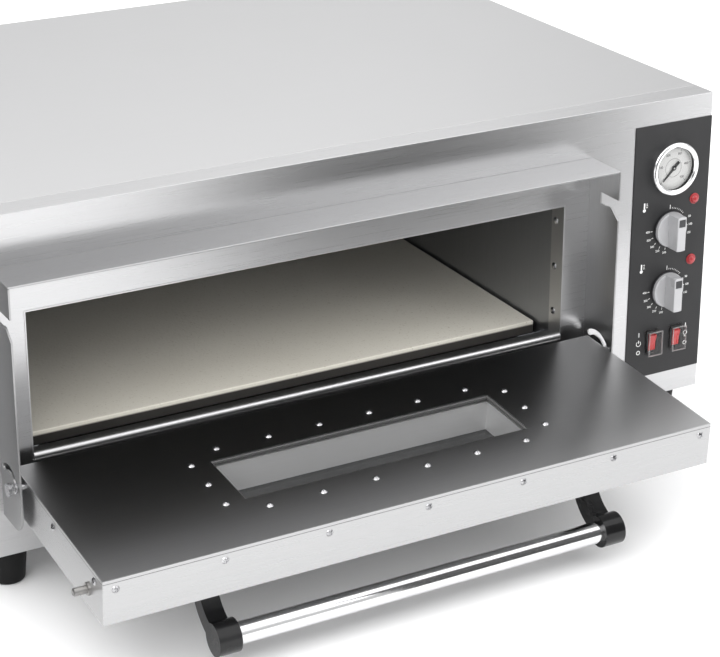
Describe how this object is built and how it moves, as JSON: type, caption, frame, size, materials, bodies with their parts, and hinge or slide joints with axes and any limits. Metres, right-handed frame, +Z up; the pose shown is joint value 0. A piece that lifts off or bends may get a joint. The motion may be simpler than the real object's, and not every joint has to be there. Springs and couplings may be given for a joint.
{
  "type": "deck oven",
  "caption": "Electric countertop deck oven with a stone-floored chamber, a drop-down glazed door with a bar handle, and a side control panel with dial thermometer, knobs and switches.",
  "frame": {"origin": "on the supporting surface under the middle of the bounding box, with the door open at rest", "axes": "+X to the right of a person facing the oven, +Y to its back, +Z up"},
  "size_m": [0.9, 0.9588, 0.415],
  "materials": {
    "casing_steel": "brushed stainless steel",
    "liner_steel": "brushed and heat-toned steel",
    "stone": "matte refractory stone",
    "heater": "oxidised heater sheath",
    "wool": "mineral wool",
    "bulb": "frosted bulb",
    "clear_glass": "clear glass",
    "overlay": "printed charcoal overlay",
    "black_plastic": "black moulded plastic",
    "bezel": "polished",
    "dial": "white printed dial",
    "needle": "black",
    "zinc": "bright zinc-plated",
    "copper": "drawn copper",
    "red_lens": "translucent red",
    "switch_cover": "clear soft splash cover",
    "knob_silver": "silver",
    "ceramic_white": "glazed terminal block",
    "foot_black": "black",
    "gasket": "braided glass fibre"
  },
  "bodies": {
    "oven": {"front_panel": "casing_steel", "top_cover": "casing_steel", "left_side_panel": "casing_steel", "right_side_panel": "casing_steel", "rear_panel": "casing_steel", "base_pan": "casing_steel", "hood": "casing_steel", "hinge_plate_left": "casing_steel", "hinge_plate_right": "casing_steel", "chamber_frame": "casing_steel", "chamber_liner": "liner_steel", "baking_stone": "stone", "stone_rails": "liner_steel", "upper_element": "heater", "lower_element": "heater", "insulation": "wool", "divider_panel": "liner_steel", "lamp_housing": "liner_steel", "lamp_bulb": "bulb", "lamp_glass": "clear_glass", "control_overlay": "overlay", "gauge_case": "black_plastic", "gauge_bezel": "bezel", "gauge_dial": "dial", "gauge_glass": "clear_glass", "thermostat_upper": "zinc", "thermostat_lower": "zinc", "temperature_probes": "copper", "indicator_upper": "red_lens", "indicator_lower": "red_lens", "power_switch_housing": "black_plastic", "lamp_switch_housing": "black_plastic", "power_switch_cover": "switch_cover", "lamp_switch_cover": "switch_cover", "terminal_block": "ceramic_white", "cable_gland": "black_plastic", "front_feet": "foot_black", "rear_feet": "foot_black", "casing_screws": "zinc", "hinge_pins": "zinc"},
    "needle": {"gauge_needle": "needle"},
    "upper_knob": {"knob_upper": "knob_silver"},
    "lower_knob": {"knob_lower": "knob_silver"},
    "power_rocker_body": {"power_rocker": "red_lens"},
    "lamp_rocker_body": {"lamp_rocker": "red_lens"},
    "door": {"door_shell": "liner_steel", "door_pan": "liner_steel", "door_insulation": "wool", "window_well": "liner_steel", "window_gasket": "gasket", "inner_glass": "clear_glass", "outer_glass": "clear_glass", "door_screws": "zinc", "hinge_blocks": "zinc", "latch_pins": "zinc", "stop_screws": "zinc", "handle_bracket_left": "black_plastic", "handle_bracket_right": "black_plastic", "handle_tube": "bezel"}
  },
  "joints": [
    {"name": "door_hinge", "type": "hinge", "parent": "oven", "child": "door", "pos_m": [-0.0715, -0.24459, 0.132], "axis": [-1, 0, 0], "range_deg": [0, 93.5]},
    {"name": "upper_knob_turn", "type": "hinge", "parent": "oven", "child": "upper_knob", "pos_m": [0.3965, -0.23059, 0.257], "axis": [0, 1, 0], "range_deg": [0, 270]},
    {"name": "lower_knob_turn", "type": "hinge", "parent": "oven", "child": "lower_knob", "pos_m": [0.3965, -0.23059, 0.18102], "axis": [0, 1, 0], "range_deg": [0, 270]},
    {"name": "power_rocker_tilt", "type": "hinge", "parent": "oven", "child": "power_rocker_body", "pos_m": [0.3793, -0.21659, 0.11696], "axis": [-1, 0, 0], "range_deg": [0, 16]},
    {"name": "lamp_rocker_tilt", "type": "hinge", "parent": "oven", "child": "lamp_rocker_body", "pos_m": [0.4137, -0.21659, 0.11696], "axis": [-1, 0, 0], "range_deg": [0, 16]},
    {"name": "needle_turn", "type": "hinge", "parent": "oven", "child": "needle", "pos_m": [0.3965, -0.22359, 0.33205], "axis": [0, 1, 0], "range_deg": [0, 270], "stiffness_Nm_per_rad": 0.0001}
  ]
}
